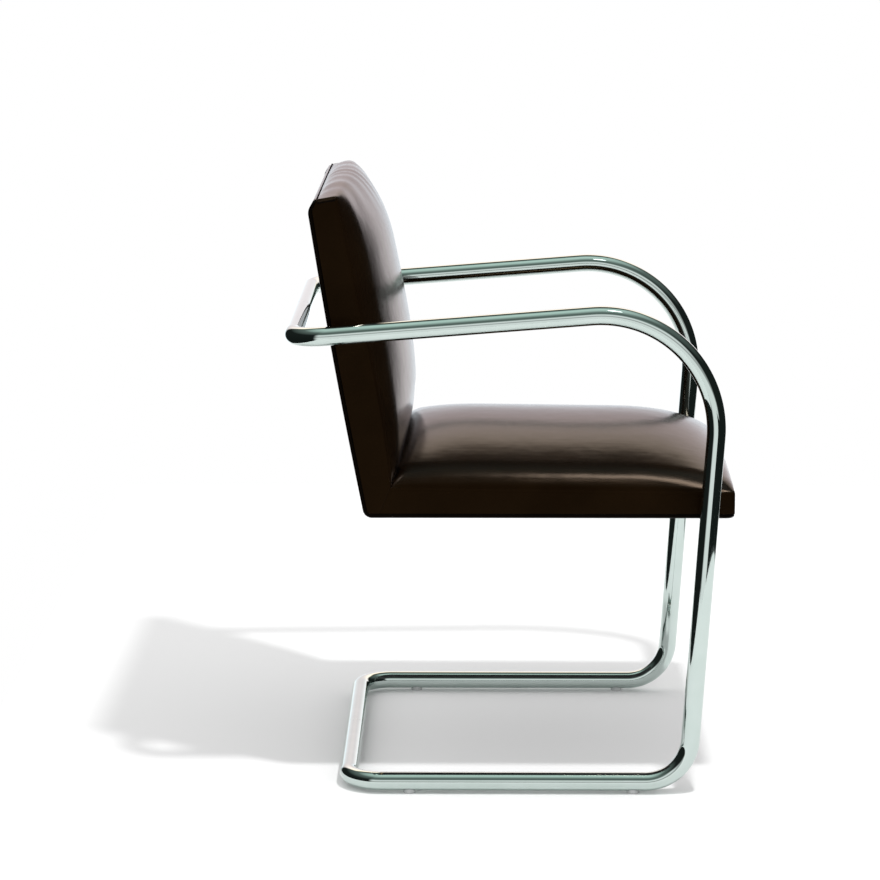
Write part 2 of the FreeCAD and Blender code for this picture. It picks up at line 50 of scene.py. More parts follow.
# Tube frame
overall_depth = 594 * mm
frame_width = 552 * mm
tube_radius = 12.5 * mm
glide_height = 3 * mm
leg_setback = 35.6 * mm
base_setback = 69 * mm
leg_lean = math.radians(3.94)
leg_length = 641 * mm
arm_slope = math.radians(4.465)
foot_bend = 60 * mm
arm_bend = 151.5 * mm
rear_bend = 45 * mm
joint_bevel = 0.05 * mm                 # finest line where the two halves of the tube meet
joint_ring = 0.4 * mm                   # a ring of points this close to the joint keeps the tube straight
tube_sides = 72
tube_arc_steps = 48
tube_run = 60 * mm                      # length of the pieces of a straight run

# Seat and back unit
side_gap = 21 * mm
seat_underside = 366 * mm
back_setback = 104 * mm
back_lean = math.radians(10)
back_length = 427 * mm
seat_boxing_front = 36 * mm
seat_boxing_rear = 42 * mm
back_boxing_low = 42 * mm
back_boxing_top = 40.5 * mm
back_boxing_bow = 4.7 * mm              # the side panel is deeper a third of the way up
bow_skew = 0.6                          # below 1 it moves the deepest place down
top_roll_length = 14 * mm               # the leather turns in later than the board behind it
top_roll_depth = 9 * mm
rear_bow = 2.4 * mm                     # the rear face bulges backwards between its ends
crease_lean = math.radians(23)
welt_radius = 3 * mm
welt_inset = 2 * mm
corner_round = 12 * mm
welt_corner = 9 * mm
piping_sides = 20
piping_arc_steps = 14
piping_run = 12 * mm
rail_height = 26 * mm

# Padding
seat_crown = 65.5 * mm
back_crown = 52 * mm
crown_least = 1.5 * mm
shoulder_width = 38 * mm
shoulder_share = 0.47
roll_power = 2.2
seat_front_roll = 150 * mm
seat_rear_roll = 160 * mm
back_top_roll = 103 * mm
back_lower_roll = 262 * mm
edge_round = 3 * mm                     # small round where a cover turns over the front or the top
lip_round = 16 * mm                     # round of the padding where it rolls into the crease
lip_depth = 12 * mm
lip_reach = 1.6 * lip_round             # points lie closer together over this length
lip_steps = 12
lip_gap = 0.05 * mm
seam_depth = 0.5 * mm
seam_width = 2.0 * mm
side_roll_radius = 2.4 * mm             # rolled edge along the top of the back's side panels
side_roll_proud = 1.2 * mm              # it stands out sideways by this
side_roll_lift = 0.2 * side_roll_proud  # and upwards
seam_shade_radius = 1.2 * mm                # painted shade: a dark line for the shadowed seam gap beside the piping and the rolled edges
seam_shade_below = 0.5 * seam_shade_radius      # from the rolled edge down to the line's middle
seam_shade_sunk = 0.2 * seam_shade_radius       # its middle lies this far inside the side panel
thin_end_round = 0.6                    # bevel of a thin tube's ends, as a share of its radius
panel_swell = 0.7 * mm
front_swell = 1.0 * mm
front_flatness = 6                      # power of the front's arch across the seat
top_swell = 11.0 * mm                   # the top rises from the rear welt to its front edge
top_swell_reach = 45 * mm
top_flatness = 3                        # power of its arch across the back
ripple_height = 0.75 * mm
ripple_length = 50 * mm
ripple_reach = 55 * mm                  # how far the ripples run down the front of the back
ripple_sway = 1.3                       # radians, by which the ripples stray from an even spacing
ripple_sway_length = 4.3 * ripple_length
ripple_sway_start = 0.8
ripple_change = 0.25                    # share by which their height changes along the back
ripple_change_length = 2.7 * ripple_length
ripple_change_start = 2.0
ripple_side_fade = 0.35                 # share of the half width over which they fade at the sides
rear_calm = 0.45                        # share of the top's depth over which they fade towards the rear

# Panels behind the back and under the seat
panel_outer = 3.0 * mm                  # from the rear line to the panel's outer face at its edge
panel_inner = 4.4 * mm                  # and to its inner face
panel_gap = 0.3 * mm                    # between the panel and the top piping
panel_fullness = 1.6 * mm
panel_turn = 0.8 * mm                   # how far its lower and upper ends turn in
panel_flatness = 6                      # power of its arch from side to side
panel_end_flatness = 8                  # and from end to end
panel_steps = 60
panel_edge_steps = 4
dust_sag = 3.0 * mm
dust_steps = 40
dust_edge_steps = 2

# Camera, from the photograph's vanishing lines
camera_place = Vector((-4.4148, 0.0441, 1.2537))
camera_heading = math.radians(0.665)    # turned from +X towards the rear
camera_pitch = math.radians(10.589)     # below level
camera_roll = math.radians(-0.058)
focal_pixels = 3234.2
sensor_width = 36.0                     # millimetres
camera_reach = 100.0                    # metres, the furthest it sees

# Studio
lamp_place = Vector((-0.784, -0.429, 2.39))     # found from the outline of the photograph's shadow
lamp_radius = 0.07
lamp_power = 16.0
glint_radius = 0.14
glint_level = 4.5
world_level = 0.85
screen_centre = (-0.25, -0.20)          # close to the foot of the near leg
screen_radius = 1.20
screen_start = 18                       # degrees from the camera's side towards the front
screen_end = 140
screen_sides = 24
screen_foot = 0.002
screen_height = 0.36
screen_colour = (0.012, 0.016, 0.015, 1.0)
dome_radius = 12.0
dome_sides = 64
dome_rings = 48
dome_level = 2.5
strip_level = 58.0
strip_place = Vector((-0.62, -1.15, 3.0))
strip_size = (0.62, 2.0)
strip_colour = (1.0, 0.86, 0.75)
white = (1.0, 1.0, 1.0, 1.0)
floor_near, floor_far = -1.45, 1.8
floor_front, floor_rear = -1.75, 0.74

# Derived places
tube_x = frame_width / 2 - tube_radius
base_z = glide_height + tube_radius
front_y = -overall_depth / 2
arm_rear_y = overall_depth / 2 - tube_radius
base_rear_y = arm_rear_y - base_setback
rail_low = seat_underside + 2 * welt_radius
front_mount_z = rail_low + rail_height / 2
foot_y = front_y + leg_setback + (front_mount_z - base_z) * math.tan(leg_lean)
arm_corner_y = foot_y - leg_length * math.sin(leg_lean)
arm_corner_z = base_z + leg_length * math.cos(leg_lean)
arm_rear_z = arm_corner_z - (arm_rear_y - arm_corner_y) * math.tan(arm_slope)

half_width = tube_x - tube_radius - side_gap
seat_length = overall_depth - back_setback
back_y = front_y + seat_length
back_sin = math.sin(back_lean)
back_cos = math.cos(back_lean)
roll_start = back_length - top_roll_length
roll_rate = top_roll_depth / top_roll_length
rear_inside = 2 * welt_radius           # padding starts inside the welt
crease_tan = math.tan(crease_lean)


# Materials
def new_material(name):
    """Node material; returns it with its node tree and its shader."""
    material = bpy.data.materials.new(name)
    material.use_nodes = True
    tree = material.node_tree
    return material, tree, tree.nodes["Principled BSDF"]


def vector_math(tree, operation, source, constant=(0.0, 0.0, 0.0)):
    """A vector after one operation, with a constant for those that need one."""
    node = tree.nodes.new("ShaderNodeVectorMath")
    node.operation = operation
    node.inputs[1].default_value = constant
    tree.links.new(source, node.inputs[0])
    return node.outputs["Vector"]


def texture(tree, kind, scale, factors=(1.0, 1.0, 1.0), **inputs):
    """Procedural texture in the object's own metres, at a scale per metre, with a factor for each axis."""
    place = tree.nodes.new("ShaderNodeTexCoord")
    node = tree.nodes.new("ShaderNodeTex" + kind)
    node.inputs["Scale"].default_value = scale
    for name, value in inputs.items():
        node.inputs[name].default_value = value
    tree.links.new(vector_math(tree, "MULTIPLY", place.outputs["Object"], factors), node.inputs["Vector"])
    return node


def ramp(tree, source, stops):
    """Colour ramp on a source; stops are (place, colour)."""
    node = tree.nodes.new("ShaderNodeValToRGB")
    elements = node.color_ramp.elements
    while len(elements) < len(stops):
        elements.new(0.5)
    for element, (place, colour) in zip(elements, stops):
        element.position = place
        element.color = (*colour, 1.0)
    tree.links.new(source, node.inputs["Fac"])
    return node.outputs["Color"]


def spread(tree, source, low, high, start=0.0, end=1.0, curve="LINEAR"):
    """A source that runs from a start to an end, mapped to a range."""
    node = tree.nodes.new("ShaderNodeMapRange")
    node.interpolation_type = curve
    for name, value in (("From Min", start), ("From Max", end), ("To Min", low), ("To Max", high)):
        node.inputs[name].default_value = value
    tree.links.new(source, node.inputs["Value"])
    return node.outputs["Result"]


def bumped(tree, heights):
    """Normal made by bumps laid over each other; heights are (source, strength, depth)."""
    normal = None
    for source, strength, depth in heights:
        node = tree.nodes.new("ShaderNodeBump")
        node.inputs["Strength"].default_value = strength
        node.inputs["Distance"].default_value = depth
        tree.links.new(source, node.inputs["Height"])
        if normal is not None:
            tree.links.new(normal, node.inputs["Normal"])
        normal = node.outputs["Normal"]
    return normal


def patterned(tree, shader, source, tones, roughness, bump=None):
    """Lets one texture set the colour and the roughness, and a bump of a given strength and depth."""
    tree.links.new(ramp(tree, source, tones), shader.inputs["Base Color"])
    tree.links.new(spread(tree, source, *roughness), shader.inputs["Roughness"])
    if bump:
        tree.links.new(bumped(tree, [(source, *bump)]), shader.inputs["Normal"])


def leather_material(name, dark, light, face_tint):
    """Finished leather with a fine pebble grain; the tint colours what it reflects face on."""
    material, tree, shader = new_material(name)
    clouds = texture(tree, "Noise", 14.0, Detail=4.0)
    polish = texture(tree, "Noise", 60.0, Detail=3.0)
    waves = texture(tree, "Noise", 26.0, Detail=2.0)
    streaks = texture(tree, "Noise", 190.0, factors=(1.0, 0.06, 0.5), Detail=3.0)
    grain = texture(tree, "Voronoi", 850.0)
    grain.feature = "SMOOTH_F1"
    pores = texture(tree, "Noise", 2400.0, Detail=2.0)
    tone = ramp(tree, clouds.outputs["Fac"], [(0.30, dark), (0.70, light)])
    tree.links.new(tone, shader.inputs["Base Color"])
    tree.links.new(spread(tree, polish.outputs["Fac"], 0.16, 0.21), shader.inputs["Roughness"])
    normal = bumped(tree, [
        (waves.outputs["Fac"], 0.25, 1.6 * mm),
        (streaks.outputs["Fac"], 0.16, 0.5 * mm),
        (grain.outputs["Distance"], 0.22, 0.12 * mm),
        (pores.outputs["Fac"], 0.10, 0.05 * mm),
    ])
    tree.links.new(normal, shader.inputs["Normal"])
    shader.inputs["IOR"].default_value = 1.45
    shader.inputs["Specular Tint"].default_value = (*face_tint, 1.0)
    shader.inputs["Sheen Weight"].default_value = 0.015
    shader.inputs["Sheen Roughness"].default_value = 0.35
    shader.inputs["Sheen Tint"].default_value = (0.80, 0.70, 0.72, 1.0)
    return material


def plain_material(name, kind, scale, output, tones, roughness, bump=None, metallic=0.0, **inputs):
    """Material that follows one texture; tones are the stops of its colour ramp."""
    material, tree, shader = new_material(name)
    source = texture(tree, kind, scale, **inputs).outputs[output]
    patterned(tree, shader, source, tones, roughness, bump)
    shader.inputs["Metallic"].default_value = metallic
    return material


def woven_material(name, dark, light, threads):
    """Plain weave from two crossed wave bands."""
    material, tree, shader = new_material(name)
    weave = tree.nodes.new("ShaderNodeMath")
    weave.operation = "MULTIPLY"
    for number, direction in enumerate("XY"):
        bands = texture(tree, "Wave", threads)
        bands.bands_direction = direction
        tree.links.new(bands.outputs["Fac"], weave.inputs[number])
    tones = [(0.0, dark), (1.0, light)]
    patterned(tree, shader, weave.outputs["Value"], tones, (0.75, 0.92), bump=(0.5, 0.3 * mm))
    return material


def seam_shade_material():
    """Painted shade: dull black line, twisted fine like thread, for the shadowed seam gaps."""
    material, tree, shader = new_material("seam_painted_shade")
    twist = texture(tree, "Wave", 900.0, Distortion=2.0)
    twist.bands_direction = "DIAGONAL"
    tones = [(0.0, (0.0015, 0.0012, 0.0010)), (1.0, (0.0060, 0.0045, 0.0038))]
    patterned(tree, shader, twist.outputs["Fac"], tones, (0.85, 0.95), bump=(0.4, 0.1 * mm))
    # It reflects nothing, so the line stays as black as the shade in a seam gap.
    shader.inputs["Specular IOR Level"].default_value = 0.0
    return material


leather = leather_material(
    "leather_dark_brown", (0.0058, 0.0028, 0.0010), (0.0088, 0.0044, 0.0017), (0.06, 0.04, 0.02))
welt_leather = leather_material(
    "leather_welt", (0.0016, 0.0010, 0.0006), (0.0026, 0.0016, 0.0010), (0.04, 0.03, 0.02))
# Lighter copy of the leather for the rolled edges: a painted highlight where their round catches the
# light.
highlit_roll_leather = leather_material(
    "leather_rolled_edge_painted_highlight", (0.0125, 0.0075, 0.0042), (0.0180, 0.0112, 0.0064), (0.12, 0.09, 0.06))
# Painted shade for the seam gaps beside the piping and the rolled edges.
seam_shade = seam_shade_material()
chrome = plain_material(
    "chrome", "Noise", 35.0, "Fac", [(0.3, (0.515, 0.595, 0.565)), (0.7, (0.545, 0.620, 0.595))],
    (0.025, 0.055), metallic=1.0, Detail=5.0)
steel = plain_material(
    "zinc_steel", "Voronoi", 400.0, "Distance", [(0.0, (0.42, 0.42, 0.40)), (1.0, (0.60, 0.60, 0.57))],
    (0.30, 0.45), metallic=1.0)
plastic = plain_material(
    "glide_plastic", "Noise", 900.0, "Fac", [(0.3, (0.42, 0.43, 0.43)), (0.7, (0.50, 0.51, 0.51))],
    (0.40, 0.55), bump=(0.3, 0.1 * mm), Detail=2.0)
wood = plain_material(
    "beech", "Wave", 55.0, "Fac", [(0.0, (0.44, 0.27, 0.14)), (1.0, (0.58, 0.38, 0.21))],
    (0.50, 0.62), bump=(0.2, 0.2 * mm), Distortion=6.0, Detail=3.0)
webbing = woven_material("rubber_webbing", (0.05, 0.042, 0.035), (0.12, 0.10, 0.08), 130.0)
dust_cloth = woven_material("black_dust_cloth", (0.010, 0.010, 0.011), (0.035, 0.034, 0.034), 220.0)
board = plain_material(
    "fibre_board", "Noise", 260.0, "Fac", [(0.3, (0.16, 0.10, 0.055)), (0.7, (0.24, 0.155, 0.09))],
    (0.70, 0.85), Detail=6.0)


# Mesh building
def new_object(name, data):
    """Object in the scene, made of a mesh, a lamp or a camera."""
    thing = bpy.data.objects.new(name, data)
    bpy.context.scene.collection.objects.link(thing)
    return thing


def mesh_object(name, vertices, faces, material):
    """Object made of vertices and faces, in one material."""
    mesh = bpy.data.meshes.new(name)
    mesh.from_pydata([tuple(vertex) for vertex in vertices], [], faces)
    mesh.materials.append(material)
    return new_object(name, mesh)


def make_piece(name, vertices, faces, material, stands_for):
    """Smooth mesh that rides with the chair, and stands for CAD nodes if any are named."""
    piece = mesh_object(name, vertices, faces, material)
    piece.data.polygons.foreach_set("use_smooth", [True] * len(faces))
    piece.data.update()
    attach(piece, "root")
    if stands_for:
        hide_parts(*stands_for)
    return piece


def rounded_route(corners, radii, arc_steps, run_length):
    """Places and directions along straight runs, with a round arc at each inner corner."""
    route = []

    def add_run(start, end):
        """Straight run, cut into equal lengths."""
        along = end - start
        count = max(1, round(along.length / run_length))
        route.extend((start + along * (step / count), along.normalized()) for step in range(count))

    here = corners[0]
    for before, corner, after, radius in zip(corners, corners[1:], corners[2:], radii):
        arriving = (corner - before).normalized()
        leaving = (after - corner).normalized()
        turn = arriving.angle(leaving)
        start = corner - arriving * (radius * math.tan(turn / 2))
        axis = arriving.cross(leaving).normalized()
        centre = start + axis.cross(arriving) * radius
        add_run(here, start)
        for step in range(arc_steps):
            swing = Matrix.Rotation(turn * step / arc_steps, 3, axis)
            route.append((centre + swing @ (start - centre), swing @ arriving))
        here = centre + Matrix.Rotation(turn, 3, axis) @ (start - centre)
    add_run(here, corners[-1])
    route.append((corners[-1], (corners[-1] - here).normalized()))
    return route


def ring_quads(rings, size, closed=False):
    """Quads between neighbouring rings of points; a closed form also joins the last ring to the first."""
    faces = []
    for ring in range(rings if closed else rings - 1):
        this = ring * size
        following = (ring + 1) % rings * size
        for number in range(size):
            after = (number + 1) % size
            faces.append((this + number, this + after, following + after, following + number))
    return faces


def tube_mesh(route, radius, sides, closed=False, end_bevel=0.0):
    """Vertices and faces of a round tube along a route, with bevelled or joined ends."""
    first_direction = route[0][1]
    side = first_direction.orthogonal().normalized()
    vertices = []
    for place, direction in route:
        side = (side - direction * side.dot(direction)).normalized()
        other = direction.cross(side)
        for number in range(sides):
            angle = 2 * math.pi * number / sides
            vertices.append(place + (side * math.cos(angle) + other * math.sin(angle)) * radius)
    rings = len(route)
    faces = ring_quads(rings, sides, closed)
    if not closed:
        for ring, (place, direction), outward in ((0, route[0], -1), (rings - 1, route[-1], 1)):
            rim = []
            first = len(vertices)
            for number in range(sides):
                spoke = vertices[ring * sides + number] - place
                shrunk = spoke * (1 - end_bevel / radius)
                vertices.append(place + shrunk + direction * (outward * end_bevel))
                rim.append(first + number)
            for number in range(sides):
                after = (number + 1) % sides
                quad = (ring * sides + number, ring * sides + after, first + after, first + number)
                faces.append(quad if outward > 0 else quad[::-1])
            faces.append(tuple(rim) if outward > 0 else tuple(rim[::-1]))
    return vertices, faces


def closed_loft(loops, columns, rows, first_swell=None, last_swell=None):
    """Vertices and faces of a closed form through loops, with gridded ends.

    A loop runs along its low row, up the far side, back along its high row and down the near side.
    A swell gives how far a point of an end stands out, from its shares across and up the end.
    """
    vertices = [point for loop in loops for point in loop]
    size = len(loops[0])
    faces = ring_quads(len(loops), size)

    def end_grid(station, swell, flip):
        """Grid that fills one end, with its border on the loop."""
        start = station * size
        low = [start + index for index in range(columns)]
        far = [start + columns - 1 + index for index in range(rows)]
        high = [start + 2 * columns + rows - 3 - index for index in range(columns)]
        near = [start + (size - index) % size for index in range(rows)]

        def shares(border):
            """How far along a border each of its points is."""
            first = vertices[border[0]]
            whole = (vertices[border[-1]] - first).length
            return [(vertices[index] - first).length / whole for index in border]

        across_shares = shares(low)
        up_shares = shares(near)
        grid = [low]
        for row in range(1, rows - 1):
            up = up_shares[row]
            line = [near[row]]
            for column in range(1, columns - 1):
                across = across_shares[column]
                point = vertices[low[column]].lerp(vertices[high[column]], up)
                sides = vertices[near[row]].lerp(vertices[far[row]], across)
                corners = vertices[low[0]].lerp(vertices[low[-1]], across).lerp(
                    vertices[high[0]].lerp(vertices[high[-1]], across), up)
                point = point + sides - corners
                if swell:
                    point = point + swell(point, across, up)
                line.append(len(vertices))
                vertices.append(point)
            grid.append(line + [far[row]])
        grid.append(high)
        for row in range(rows - 1):
            for column in range(columns - 1):
                quad = (grid[row][column], grid[row][column + 1],
                        grid[row + 1][column + 1], grid[row + 1][column])
                faces.append(quad[::-1] if flip else quad)

    end_grid(0, first_swell, True)
    end_grid(len(loops) - 1, last_swell, False)
    return vertices, faces


def even_shares(count):
    """Evenly spaced shares from 0 to 1."""
    return [step / count for step in range(count + 1)]


def edge_crowded(count):
    """Places from -1 to 1 that crowd towards both ends."""
    return [math.sin(math.pi / 2 * (2 * number / (count - 1) - 1)) for number in range(count)]


def loop_points(across, heights, low_point, side_point, high_point):
    """One loop of a closed loft, from functions for its low row, its sides and its high row."""
    loop = [low_point(share) for share in across]
    loop += [side_point(1, share) for share in heights[1:-1]]
    loop += [high_point(share) for share in reversed(across)]
    loop += [side_point(-1, share) for share in reversed(heights[1:-1])]
    return loop


# Padding shapes
def clamped(share):
    """A share, kept from 0 to 1."""
    return min(1.0, max(0.0, share))


def arch(share, power=2):
    """Falls from 1 in the middle to 0 at -1 and 1; a higher power is flatter in the middle."""
    return 1 - abs(share) ** power


def crown_fall(distance, roll):
    """Share of the full crown at a distance from a cushion's end."""
    near = clamped(1.0 - distance / roll)
    return (1.0 - near ** roll_power) ** (1.0 / roll_power)


def section_rise(x, crown):
    """Height of the padding across a cushion: round shoulders beside the seams, an arched middle."""
    shoulder_x = half_width - shoulder_width
    shoulder_rise = shoulder_share * crown
    sag = crown - shoulder_rise
    top_radius = (shoulder_x ** 2 + sag ** 2) / (2 * sag)
    reach = min(abs(x), half_width)
    if reach <= shoulder_x:
        return crown - top_radius + math.sqrt(top_radius ** 2 - reach ** 2)
    end_angle = 2 * math.atan2(sag, shoulder_x)
    chord_angle = math.atan2(shoulder_rise, shoulder_width)
    half_turn = chord_angle - end_angle
    radius = math.hypot(shoulder_width, shoulder_rise) / (2 * math.sin(half_turn))
    centre_x = shoulder_x - radius * math.sin(end_angle)
    centre_rise = shoulder_rise - radius * math.cos(end_angle)
    return max(0.0, centre_rise + math.sqrt(max(0.0, radius ** 2 - (reach - centre_x) ** 2)))


def seat_edge(y):
    """Height of the seat's side seam."""
    share = (y - front_y) / seat_length
    return seat_underside + seat_boxing_front + share * (seat_boxing_rear - seat_boxing_front)


def seat_crown_at(y):
    """Height of the seat's middle above its seams."""
    share = crown_fall(y - front_y, seat_front_roll) * crown_fall(back_y - y, seat_rear_roll)
    return crown_least + (seat_crown - crown_least) * share


def back_point(up, out, x):
    """Point at a distance up the straight rear line and out from it, towards the front."""
    y = back_y + up * back_sin - out * back_cos
    z = seat_underside + up * back_cos + out * back_sin
    return Vector((x, y, z))


def top_turn(up):
    """How far the rear has turned in near the top."""
    return max(0.0, (up - roll_start) * roll_rate)


def rear_bulge(up):
    """How far the rear face bulges backwards."""
    return rear_bow * math.sin(math.pi * clamped(up / roll_start))


def rear_face(up):
    """How far the outer rear face stands from the straight rear line."""
    return top_turn(up) - rear_bulge(up)


seam_slope = (seat_boxing_rear - seat_boxing_front) / seat_length
crease_up = (seat_boxing_rear - back_boxing_low * back_sin - seam_slope * back_boxing_low * back_cos) / (
    back_cos - seam_slope * back_sin)
crease = back_point(crease_up, back_boxing_low, 0.0)
crease_climb = 1 / math.tan(back_lean + crease_lean)    # rise up the back for each step out


def back_edge(up):
    """Distance of the back's side seam from the rear line, which bows a little."""
    share = clamped((up - crease_up) / (back_length - crease_up))
    straight = back_boxing_low + (back_boxing_top - back_boxing_low) * share
    return straight + back_boxing_bow * math.sin(math.pi * share ** bow_skew) ** 2


def back_crown_at(up):
    """Height of the back's middle above its seams."""
    share = crown_fall(back_length - up, back_top_roll) * crown_fall(up - crease_up, back_lower_roll)
    return crown_least + (back_crown - crown_least) * share


def meeting(crown_at, start, step):
    """Rise at which a line that starts at a seam and leans by a step meets the crown."""
    halvings = 40
    low, high = 0.0, 2 * seat_crown
    for _ in range(halvings):
        middle = (low + high) / 2
        if middle < crown_at(start + step * middle):
            low = middle
        else:
            high = middle
    return low


def smooth_step(value):
    """Smooth rise from 0 to 1."""
    share = clamped(value)
    return share * share * (3 - 2 * share)


def groove(distance):
    """How deep a seam pulls the leather in, at a distance from it."""
    return seam_depth * math.exp(-(distance / seam_width) ** 2)


def quarter_round(distance, reach):
    """Share of a round's depth by which it has turned in, at a distance from its end."""
    share = clamped(1.0 - distance / reach)
    return 1.0 - math.sqrt(1.0 - share ** 2)


def end_distances(roll):
    """Distances from a cushion's end, evenly spaced round its end roll."""
    step = 3                            # degrees
    turns = [math.radians(angle) for angle in range(0, 90 + step, step)]
    return [roll * (1.0 - max(0.0, math.cos(turn)) ** (2.0 / roll_power)) for turn in turns]


def lip_distances():
    """Distances from the crease, close together where the lip curves."""
    return [lip_reach * share ** 2 for share in even_shares(lip_steps)]


def even_places(first, last, spacing):
    """Evenly spaced places between two others, without them."""
    count = max(1, round(abs(last - first) / spacing))
    return [first + (last - first) * step / count for step in range(1, count)]


cover_across = edge_crowded(121)
panel_heights = [(share + 1) / 2 for share in edge_crowded(25)]
cover_columns = len(cover_across)
panel_rows = len(panel_heights)
tilt_reach = 130 * mm                   # over this length the loops lean into the crease
corner_seam = edge_round * (1 - math.sqrt(0.5))     # the small round has turned by half here
station_spacing = 8 * mm


def seat_cushion():
    """Seat: crowned cover that wraps over the front, and side panels, in one closed form."""
    places = [front_y + distance for distance in end_distances(seat_front_roll)]
    near_crease = [crease.y - lip_gap - distance for distance in reversed(lip_distances())]
    places += even_places(places[-1], near_crease[0], station_spacing) + near_crease
    loops = []
    for y in places:
        ahead = crease.y - lip_gap - y
        end = y - front_y
        inset = edge_round * quarter_round(end, edge_round)
        tilt = crease_tan * smooth_step(1 - ahead / tilt_reach)
        crown = meeting(seat_crown_at, y, -tilt)
        edge = seat_edge(y) - inset
        seam = edge - seam_depth
        low = rail_low
        half = half_width - inset
        drop = lip_depth * quarter_round(ahead, lip_round)
        front_seam = groove(end - corner_seam)
        mitre_seam = groove(ahead)

        def low_point(share):
            return Vector((share * half, y + tilt * (edge - low), low))

        def side_point(side, share):
            height = low + (seam - low) * share
            swell = panel_swell * arch(2 * share - 1)
            x = half + swell - max(groove(seam - height), front_seam, mitre_seam)
            return Vector((side * x, y + tilt * (edge - height), height))

        def high_point(share):
            x = share * half
            rise = section_rise(share * half_width, crown)
            rise -= drop * math.sqrt(rise / crown)
            pull = groove((1 - abs(share)) * half)
            x -= math.copysign(pull, x)
            return Vector((x, y - tilt * rise, edge + rise - pull))

        loops.append(loop_points(cover_across, panel_heights, low_point, side_point, high_point))

    def front_bulge(point, side_share, up):
        """The front leather stands out a little between its edges."""
        bulge = arch(2 * side_share - 1, front_flatness) * arch(2 * up - 1)
        return Vector((0, -front_swell * bulge, 0))

    vertices, faces = closed_loft(loops, cover_columns, panel_rows, first_swell=front_bulge)
    stands_for = ["seat_cover", "seat_foam", "seat_boxing_right", "seat_boxing_left"]
    piece = make_piece("seat_cushion", vertices, faces, leather, stands_for)
    return piece


def ripple(x, below_top):
    """Soft puckers that run front to back over the top of the back."""
    sway = ripple_sway * math.sin(2 * math.pi * x / ripple_sway_length + ripple_sway_start)
    wave = math.sin(2 * math.pi * x / ripple_length + sway)
    change = math.sin(2 * math.pi * x / ripple_change_length + ripple_change_start)
    strength = 1 - ripple_change + ripple_change * change
    side_fade = smooth_step((half_width - abs(x)) / (ripple_side_fade * half_width))
    end_fade = smooth_step(1 - below_top / ripple_reach)
    return ripple_height * wave * strength * side_fade * end_fade


def back_cushion():
    """Back: crowned cover that wraps over the top, and side panels, in one closed form."""
    places = [crease_up + lip_gap + distance for distance in lip_distances()]
    near_top = [back_length - distance for distance in reversed(end_distances(back_top_roll))]
    places += even_places(places[-1], near_top[0], station_spacing) + near_top
    floor_up = (rail_low - seat_underside) / back_cos
    loops = []
    for up in places:
        above = up - crease_up - lip_gap
        below_top = back_length - up
        inset = edge_round * quarter_round(below_top, edge_round)
        lean = smooth_step(1 - above / tilt_reach)
        climb = crease_climb * lean
        crown = meeting(back_crown_at, up, climb)
        edge = back_edge(up) - inset
        seam = edge - seam_depth
        low = rear_face(up) + rear_inside
        half = half_width - inset
        drop = lip_depth * quarter_round(above, lip_round)
        mitre_seam = groove(above)
        fall = crown_fall(below_top, back_top_roll)

        def lean_up(out):
            """Place up the back, leaning down to the crease and the heel near the lowest stations."""
            heel = floor_up - out * back_sin / back_cos
            leaning = max(up - crease_climb * (edge - out), heel + (up - crease_up))
            return up + (leaning - up) * lean

        def low_point(share):
            return back_point(lean_up(low), low, share * half)

        def side_point(side, share):
            out = low + (seam - low) * share
            swell = panel_swell * arch(2 * share - 1)
            x = half + swell - max(groove(seam - out), mitre_seam)
            return back_point(lean_up(out), out, side * x)

        def high_point(share):
            x = share * half
            rise = section_rise(share * half_width, crown)
            rise -= drop * math.sqrt(rise / crown)
            pull = groove((1 - abs(share)) * half)
            wave = ripple(x, below_top)
            lift = top_swell * arch(share, top_flatness) * clamped(1 - below_top / top_swell_reach) ** 2
            x -= math.copysign(pull, x)
            lift += climb * rise + wave * math.sqrt(1 - fall ** 2)
            return back_point(up + lift, edge + rise - pull + wave * fall, x)

        loops.append(loop_points(cover_across, panel_heights, low_point, side_point, high_point))

    def top_bulge(point, side_share, up):
        """How far the top stands over a straight line from its rear edge to its front edge."""
        swell = top_swell * arch(2 * side_share - 1, top_flatness) * up * (1 - up)
        rise = swell + ripple(point.x, 0.0) * (smooth_step(up / rear_calm) - up)
        return Vector((0, back_sin * rise, back_cos * rise))

    vertices, faces = closed_loft(loops, cover_columns, panel_rows, last_swell=top_bulge)
    stands_for = ["back_cover", "back_foam", "back_boxing_right", "back_boxing_left"]
    piece = make_piece("back_cushion", vertices, faces, leather, stands_for)
    return piece


# Frame
def frame_tube(side, name):
    """One half of the bent tube, from the floor joint to the rear joint."""
    x = side * tube_x
    gap = Vector((side * joint_bevel, 0, 0))
    corners = [
        Vector((0, base_rear_y, base_z)) + gap,
        Vector((x, base_rear_y, base_z)),
        Vector((x, foot_y, base_z)),
        Vector((x, arm_corner_y, arm_corner_z)),
        Vector((x, arm_rear_y, arm_rear_z)),
        Vector((0, arm_rear_y, arm_rear_z)) + gap,
    ]
    bends = [rear_bend, foot_bend, arm_bend, rear_bend]
    route = rounded_route(corners, bends, tube_arc_steps, tube_run)
    start, start_direction = route[0]
    end, end_direction = route[-1]
    route.insert(1, (start + start_direction * joint_ring, start_direction))
    route.insert(-1, (end - end_direction * joint_ring, end_direction))
    vertices, faces = tube_mesh(route, tube_radius, tube_sides, end_bevel=joint_bevel)
    return make_piece("tube_" + name, vertices, faces, chrome, ["frame_tube_" + name])


